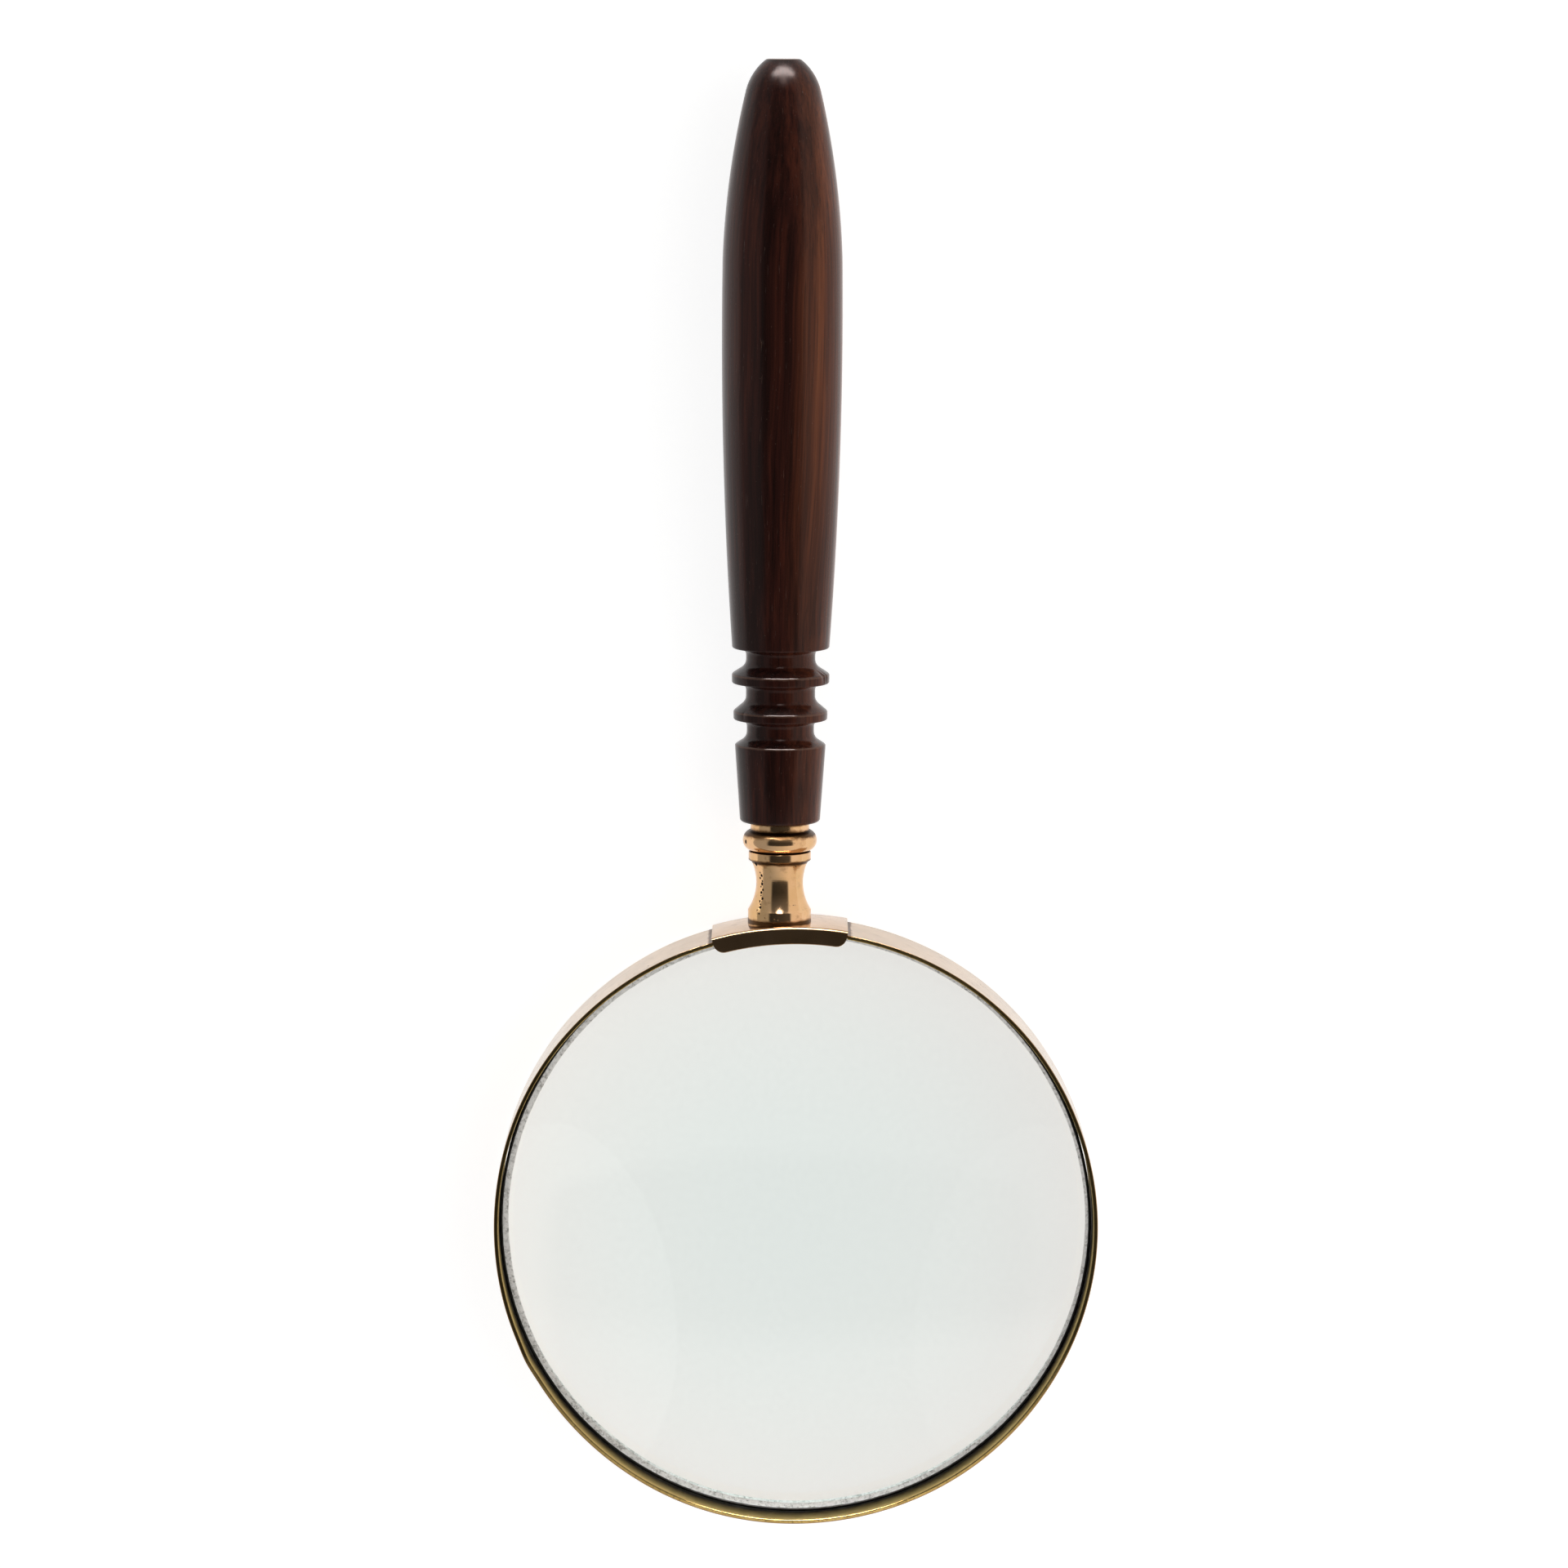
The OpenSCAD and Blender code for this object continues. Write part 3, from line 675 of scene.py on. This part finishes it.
# the band is a little uneven: waves (height, number round the hoop, phase) and one kink,
# which fade out beside the notch over an angle
HOOP_WAVES = ((0.05, 3, 0.7), (0.04, 7, 2.1))
KINK_H, KINK_AT, KINK_W = 0.16, math.radians(207), 0.05
WAVE_FADE = 0.15
# angle between the last full section and the first one in the notch
SPLIT = 1e-5

saddle_dir = math.pi / 2 + math.asin(-AXIS_X / SADDLE_R)
saddle_half = math.asin(SADDLE_L / 2 / SADDLE_R)
notch_half = saddle_half + NOTCH_GAP / SADDLE_R
free_start = saddle_dir + notch_half
free_span = 2 * math.pi - 2 * notch_half
free_end = free_start + free_span
notch_span = 2 * notch_half - 2 * SPLIT
hoop_angles = [free_start + free_span * i / HOOP_STEPS for i in range(HOOP_STEPS + 1)]
hoop_angles += [hoop_angles[-1] + SPLIT + notch_span * i / NOTCH_STEPS
                for i in range(NOTCH_STEPS + 1)]


def hoop_wave(a):
    """Small outward unevenness of the hand-formed band, in mm."""
    waves = sum(high * (1 + math.sin(n * a + phase)) for high, n, phase in HOOP_WAVES)
    return waves + KINK_H * math.exp(-((a - KINK_AT) / KINK_W) ** 2)


def hoop_at(a):
    """The band's section: full round the lens, lower and plain in the notch under the saddle."""
    cut = a > free_end + SPLIT / 2
    low = SINK + SADDLE_T if cut else 0.0
    high = DEPTH - low
    fade = min(1.0, (a - free_start) / WAVE_FADE, (free_end - a) / WAVE_FADE)
    grow = 0.0 if cut else hoop_wave(a % (2 * math.pi)) * fade
    section = rounded([(HOOP_R - WALL, low, HOOP_CORNER), (HOOP_R, low + HOOP_DROP, HOOP_CORNER),
                       (HOOP_R, high - HOOP_DROP, HOOP_CORNER),
                       (HOOP_R - WALL, high, HOOP_CORNER)], steps=3, guard=0.05)
    return [(r + grow, z) for r, z in section]


def hoop_face(k, n):
    """0 for the outer wall and corners, 1 for the flat ends and inner corners, 2 for the inside."""
    quarter = n // 4
    if (k + 1) % quarter:
        return 1 if k // quarter in (0, 3) else 0
    return (2, 1, 0, 1)[(k + 1) // quarter % 4]


ring_mesh("hoop_band", hoop_at, hoop_angles, [hoop_brass, filed_brass(), inner_brass()], "head",
          ["hoop"], 35, hoop_face)

# ---------------------------------------------------------------- saddle
SADDLE_EDGE = 0.1
CORNER_STEPS, PLATE_STEPS = 14, 48
# places in the section of the faces in the middle of each fold
FOLD_LINES = (15, 16, 24, 25)


def wing_low(a):
    """Lowest radius of the wings at this angle, with their rounded corners."""
    base = SADDLE_R - WING_DROP
    inside = (saddle_half - abs(a - saddle_dir)) * (base + WING_CORNER)
    if inside >= WING_CORNER:
        return base
    gap = WING_CORNER - max(inside, 0.0)
    return base + WING_CORNER - math.sqrt(max(WING_CORNER ** 2 - gap ** 2, 0.0))


def saddle_at(a):
    """The saddle's section: the plate over the band, with a wing folded down on each side."""
    low = wing_low(a)
    z0, z1 = SINK, DEPTH - SINK
    bend_at = SADDLE_R - BEND_R
    section = [(low, z0 + SADDLE_T, SADDLE_EDGE), (low, z0, SADDLE_EDGE), (bend_at, z0)]
    section += arc(bend_at, z0 + BEND_R, BEND_R, -90, 0, 8)[1:]
    section += arc(bend_at, z1 - BEND_R, BEND_R, 0, 90, 8)
    section += [(low, z1, SADDLE_EDGE), (low, z1 - SADDLE_T, SADDLE_EDGE),
                (HOOP_R, z1 - SADDLE_T), (HOOP_R, z0 + SADDLE_T)]
    return rounded(section, steps=3, guard=0.03)


def saddle_face(k, _):
    """1 for the dark brass on the faces along each fold that reflect the edge lamp, painted to tone
    its highlight to a pale gold line; 0 elsewhere.
    """
    return 1 if k in FOLD_LINES else 0


corner_span = WING_CORNER / (SADDLE_R - WING_DROP + WING_CORNER)
end_angles = [saddle_half - corner_span * (1 - math.cos(math.pi / 2 * i / CORNER_STEPS))
              for i in range(CORNER_STEPS + 1)]
saddle_angles = [saddle_dir - a for a in end_angles]
saddle_angles += [saddle_dir + (saddle_half - corner_span) * (2 * i / PLATE_STEPS - 1)
                  for i in range(1, PLATE_STEPS)]
saddle_angles += [saddle_dir + a for a in reversed(end_angles)]
ring_mesh("saddle_plate", saddle_at, saddle_angles, [saddle_brass, fold_highlight_brass], "head",
          ["saddle"], 40, saddle_face, closed=False)

# ---------------------------------------------------------------- turned brass
# the pillar's foot goes this far into the saddle
PILLAR_SINK = 0.15

base_flare = BASE_R - NECK_R
base_drop = math.sqrt(NECK_CURVE ** 2 - (NECK_CURVE - base_flare) ** 2)
low_turn = math.degrees(math.asin(base_drop / NECK_CURVE))
top_turn = math.degrees(math.asin((PILLAR_TOP - NECK_Y) / NECK_CURVE))
neck = arc(NECK_R + NECK_CURVE, NECK_Y, NECK_CURVE, 180 + low_turn, 180 - top_turn, 44)
pillar_bottom = HOOP_R - PILLAR_SINK
pillar_outline = [(0.0, pillar_bottom), (BASE_R, pillar_bottom, 0.05), (BASE_R, neck[0][1], 0.12)]
pillar_outline += neck[2:-1] + [(*neck[-1], 0.08), (STUD_HOLE_R, PILLAR_TOP),
                                (STUD_HOLE_R, PILLAR_TOP - STUD_HOLE_L),
                                (0.0, PILLAR_TOP - STUD_HOLE_L)]
lathe("turned_pillar", rounded(pillar_outline, closed=False), "Y", [turned_brass], "head",
      ["pillar"])

spacer_y0, spacer_y1 = spacer_lo.y / MM, spacer_hi.y / MM
spacer_outline = [(STUD_HOLE_R, spacer_y0), (SPACER_R, spacer_y0, 0.28),
                  (SPACER_R, spacer_y1, 0.22), (STUD_HOLE_R, spacer_y1)]
lathe("spacer_disc", rounded(spacer_outline), "Y", [turned_brass], "spacer",
      ["spacer_ring"])

bead_ring = BEAD_R - BEAD_ROUND
bead_end = math.degrees(math.acos((COLLAR_NECK - bead_ring) / BEAD_ROUND))
bead = arc(bead_ring, COLLAR_Y + BEAD_ROUND, BEAD_ROUND, -90, bead_end, 40)
collar_outline = [(STUD_R, COLLAR_Y)] + bead
collar_outline += [(COLLAR_NECK, bead[-1][1] + 0.05), (COLLAR_NECK, HANDLE_Y),
                   (SPIGOT_R, HANDLE_Y), (SPIGOT_R, HANDLE_Y + SPIGOT_L),
                   (STUD_R, HANDLE_Y + SPIGOT_L)]
lathe("turned_collar", collar_outline, "Y", [turned_brass], "handle", ["collar"])

# ---------------------------------------------------------------- handle
# distance of the guard point before a rounding
GUARD = 0.05
# half the worn flat on each rim's edge
WORN_X, WORN_Y = 0.035, 0.042
# rounding between the end and its flat spot, and how far below the end the rounding starts
FLAT_CORNER, FLAT_CLEAR = 0.9, 0.45
# knocks in the turned edges: angle round the handle, height, width round, height of the mark,
# depth
KNOCKS = ((118, 25.5, 0.055, 0.4, 0.3), (110, 25.2, 0.03, 0.9, 0.16), (232, 19.0, 0.04, 0.3, 0.1),
          (300, 25.3, 0.06, 0.35, 0.14), (35, 13.2, 0.05, 0.3, 0.12), (150, 13.25, 0.03, 0.3, 0.06))

# the end's arc touches the upper curve of the grip from inside and passes the flat spot's edge
belly_top = HANDLE_L - TOP_L
end_rise = FLAT_R - GRIP_R + TOP_CURVE
end_far = math.hypot(TOP_L, end_rise)
end_reach = TOP_CURVE - END_R
end_along = (end_reach ** 2 - END_R ** 2 + end_far ** 2) / (2 * end_far)
end_aside = math.sqrt(end_reach ** 2 - end_along ** 2)
end_h = belly_top + (end_along * TOP_L - end_aside * end_rise) / end_far
end_r = GRIP_R - TOP_CURVE + (end_along * end_rise + end_aside * TOP_L) / end_far
touch_h = belly_top + (end_h - belly_top) * TOP_CURVE / end_reach


def grip_radius(h):
    r = GRIP_R - LOW_CURVE + math.sqrt(LOW_CURVE ** 2 - (h - LOW_H) ** 2)
    if h > belly_top:
        r = min(r, GRIP_R - TOP_CURVE + math.sqrt(TOP_CURVE ** 2 - (h - belly_top) ** 2))
    if h > touch_h:
        r = min(r, end_r + math.sqrt(max(END_R ** 2 - (h - end_h) ** 2, 0.0)))
    return r


def rim_outline(edge_r, edge_h, flare, neck_r, rounding, under_h, top_h):
    """A rim from its underside round the edge, and up its cone and hollow to the neck's top."""
    flare_cos, flare_sin = math.cos(math.radians(flare)), math.sin(math.radians(flare))
    out = []
    if under_h:
        out.append((edge_r - rounding - GUARD, under_h))
        out += arc(edge_r - rounding, under_h + rounding, rounding, -90, 0, 6)
    round_h = edge_h - rounding * math.tan(math.radians(flare / 2))
    out += arc(edge_r - rounding + WORN_X, round_h - WORN_Y, rounding, 0, 37, 4)
    out += arc(edge_r - rounding - WORN_X, round_h + WORN_Y, rounding, 43, flare, 3)
    low_r, low_h = out[-1]
    cone_r = neck_r + HOLLOW_R * (1 - flare_cos)
    cone_h = edge_h + (edge_r - cone_r) * flare_cos / flare_sin
    out += [(low_r + (cone_r - low_r) * k, low_h + (cone_h - low_h) * k)
            for k in (0.05, 0.3, 0.65, 0.95)]
    out += arc(neck_r + HOLLOW_R, cone_h + HOLLOW_R * flare_sin, HOLLOW_R, 180 + flare, 180, 16)
    out += arc(neck_r + FILLET_R, top_h - FILLET_R, FILLET_R, 180, 90, 10)
    return out


def handle_wear(a, t):
    """How deep the knocks go at this angle and place along Y, in mm."""
    depth = 0.0
    for turn_deg, h, round_w, high_w, deep in KNOCKS:
        da = (a - math.radians(turn_deg)) / round_w
        dh = (t - HANDLE_Y - h) / high_w
        depth += deep * math.exp(-da * da - dh * dh)
    return depth


handle_outline = [(0.0, STUD_IN_HANDLE), (STUD_R, STUD_IN_HANDLE), (STUD_R, SPIGOT_L),
                  (SPIGOT_R, SPIGOT_L), (SPIGOT_R, 0.0), (FOOT_R - FOOT_CORNER - GUARD, 0.0)]
handle_outline += arc(FOOT_R - FOOT_CORNER, FOOT_CORNER, FOOT_CORNER, -90, -3, 8)
for rim in RIMS:
    handle_outline += rim_outline(*rim)
shoulder_top = SHOULDER_H + SHOULDER_R
shoulder_r = grip_radius(shoulder_top)
handle_outline.append((shoulder_r - SHOULDER_R - GUARD, SHOULDER_H))
handle_outline += arc(shoulder_r - SHOULDER_R, shoulder_top, SHOULDER_R, -90, 0, 8)
heights = [shoulder_top + 0.1 + (touch_h - shoulder_top) * i / 110 for i in range(1, 110)]
heights += [touch_h + (HANDLE_L - touch_h) * math.sin(math.pi / 2 * i / 24) for i in range(24)]
handle_outline += [(grip_radius(h), h) for h in heights if h < HANDLE_L - FLAT_CLEAR]
handle_outline += rounded([handle_outline[-1], (FLAT_R, HANDLE_L, FLAT_CORNER), (0.0, HANDLE_L)],
                          closed=False)[1:]
lathe("turned_handle", [(r, HANDLE_Y + h) for r, h in handle_outline], "Y", [rosewood_material()],
      "handle", ["handle"], segs=288, sharp=30, wear=handle_wear)

# ---------------------------------------------------------------- steel CAD pieces
wire_steel = steel("wire_steel", 0.035, (900, 900, 900), 0.25)
screw_steel = steel("screw_steel", 0.5, (300, 4000, 300))
for node, mat in (("front_spring_wire", wire_steel), ("rear_spring_wire", wire_steel),
                  ("rim_screw", screw_steel), ("handle_stud", screw_steel)):
    for material_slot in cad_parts[node].material_slots:
        material_slot.material = mat

# ---------------------------------------------------------------- floor
# half the floor's size, and the gap that keeps it off the hoop, in metres
FLOOR_HALF, FLOOR_GAP = 6.0, 0.00008

# the magnifier lies on the far edge of its hoop and on the handle's belly
belly_y = HANDLE_Y + LOW_H
slope = math.atan2(-handle_lo.z / MM, belly_y + HOOP_R)
floor_mesh = bpy.data.meshes.new("floor")
floor_mesh.from_pydata([(-FLOOR_HALF, -FLOOR_HALF, 0), (FLOOR_HALF, -FLOOR_HALF, 0),
                        (FLOOR_HALF, FLOOR_HALF, 0), (-FLOOR_HALF, FLOOR_HALF, 0)],
                       [], [(0, 1, 2, 3)])
floor = bpy.data.objects.new("floor", floor_mesh)
bpy.context.scene.collection.objects.link(floor)
floor_place = Matrix.Translation((0, -HOOP_R * MM, -FLOOR_GAP))
floor.matrix_world = floor_place @ Matrix.Rotation(-slope, 4, "X")
paper = shader("pale_paper")
tooth = paper.ramp(paper.noise(paper.scaled(900), 4), (0.3, 0.0), (0.7, 1.0))
paper.principled(Base_Color=paper.mix(tooth, rgb(0.43, 0.43, 0.43), rgb(0.46, 0.46, 0.46)),
                 Roughness=0.9, Specular_IOR_Level=0.0,
                 Emission_Color=rgb(1, 1, 1), Emission_Strength=0.83)
floor_mesh.materials.append(paper.owner)

# ---------------------------------------------------------------- studio
# overhead, round the camera, the studio is dark; the edges of that part are slopes from straight
# up, x/z and y/z, each with the width it fades over
DARK_LEFT, DARK_RIGHT = (-0.8, 0.15), (0.9, 0.15)
DARK_NEAR, DARK_FAR = (-0.39, 0.08), (2.9, 0.5)
# how dark it is, and how much less so towards the handle
DARKNESS, LESS_DARK, LESS_FROM = 0.925, 0.1, (0.45, 0.5)
# the right side is brighter and warmer than the left
LEFT_LIGHT, MORE_RIGHT = 0.46, 0.5
COOL, WARM = rgb(0.97, 1.0, 1.02), rgb(1.04, 0.99, 0.93)

world = bpy.data.worlds.new("studio")
bpy.context.scene.world = world
studio = Shader(world, "OutputWorld")


def soft_step(value, edge, width):
    """0 below edge, 1 above it, over the given width."""
    share = studio.math("DIVIDE", studio.math("SUBTRACT", value, edge), width)
    return studio.math("ADD", share, 0.5, clamp=True)


def soft_drop(value, edge, width):
    """1 below edge, 0 above it, over the given width."""
    return studio.math("SUBTRACT", 1.0, soft_step(value, edge, width))


dx, dy, dz = studio.axes("Generated")
tall = studio.math("MAXIMUM", dz, 0.02)
ax, ay = studio.math("DIVIDE", dx, tall), studio.math("DIVIDE", dy, tall)
dark = studio.math("MULTIPLY", soft_step(ax, *DARK_LEFT), soft_drop(ax, *DARK_RIGHT))
dark = studio.math("MULTIPLY", dark, soft_step(ay, *DARK_NEAR))
dark = studio.math("MULTIPLY", dark, soft_drop(ay, *DARK_FAR))
less = studio.math("MULTIPLY", soft_step(ay, *LESS_FROM), LESS_DARK)
dark = studio.math("MULTIPLY", dark, studio.math("SUBTRACT", DARKNESS, less))
sideways = soft_step(dx, 0.0, 1.2)
light = studio.math("ADD", LEFT_LIGHT, studio.math("MULTIPLY", sideways, MORE_RIGHT))
walls = studio.node("Background", Color=studio.mix(sideways, COOL, WARM),
                    Strength=studio.math("MULTIPLY", light, studio.math("SUBTRACT", 1.0, dark)))
studio.put(studio.out.inputs["Surface"], walls.outputs[0])

# ---------------------------------------------------------------- lamps
LIT_POINT = Vector((0, 0.07, 0))


def softbox(name, place, size, power, seen=False):
    """An elliptical lamp turned towards the object.

    A seen one shows only in reflections, and the others light only diffusely.
    """
    data = bpy.data.lights.new(name, "AREA")
    data.shape, data.size, data.size_y, data.energy = "ELLIPSE", size[0], size[1], power
    lamp = bpy.data.objects.new(name, data)
    bpy.context.scene.collection.objects.link(lamp)
    lamp_turn = (LIT_POINT - Vector(place)).to_track_quat("-Z", "Y").to_matrix().to_4x4()
    lamp.matrix_world = Matrix.Translation(place) @ lamp_turn
    lamp.visible_camera = False
    lamp.visible_glossy, lamp.visible_diffuse = seen, not seen


softbox("right_box", (1.0, 0.1, 0.9), (1.6, 1.6), 4)
softbox("left_box", (-1.0, 0.1, 0.9), (1.6, 1.6), 2)
# beyond the handle's end: a low lamp for the turned edges, and a weak one for the foot of the neck
softbox("edge_lamp", (0.0, 1.3, 0.38), (1.3, 0.4), 42, seen=True)
softbox("foot_lamp", (0.0, 1.02, 0.68), (0.34, 0.34), 1.8, seen=True)

bpy.context.scene.view_settings.view_transform = "Standard"
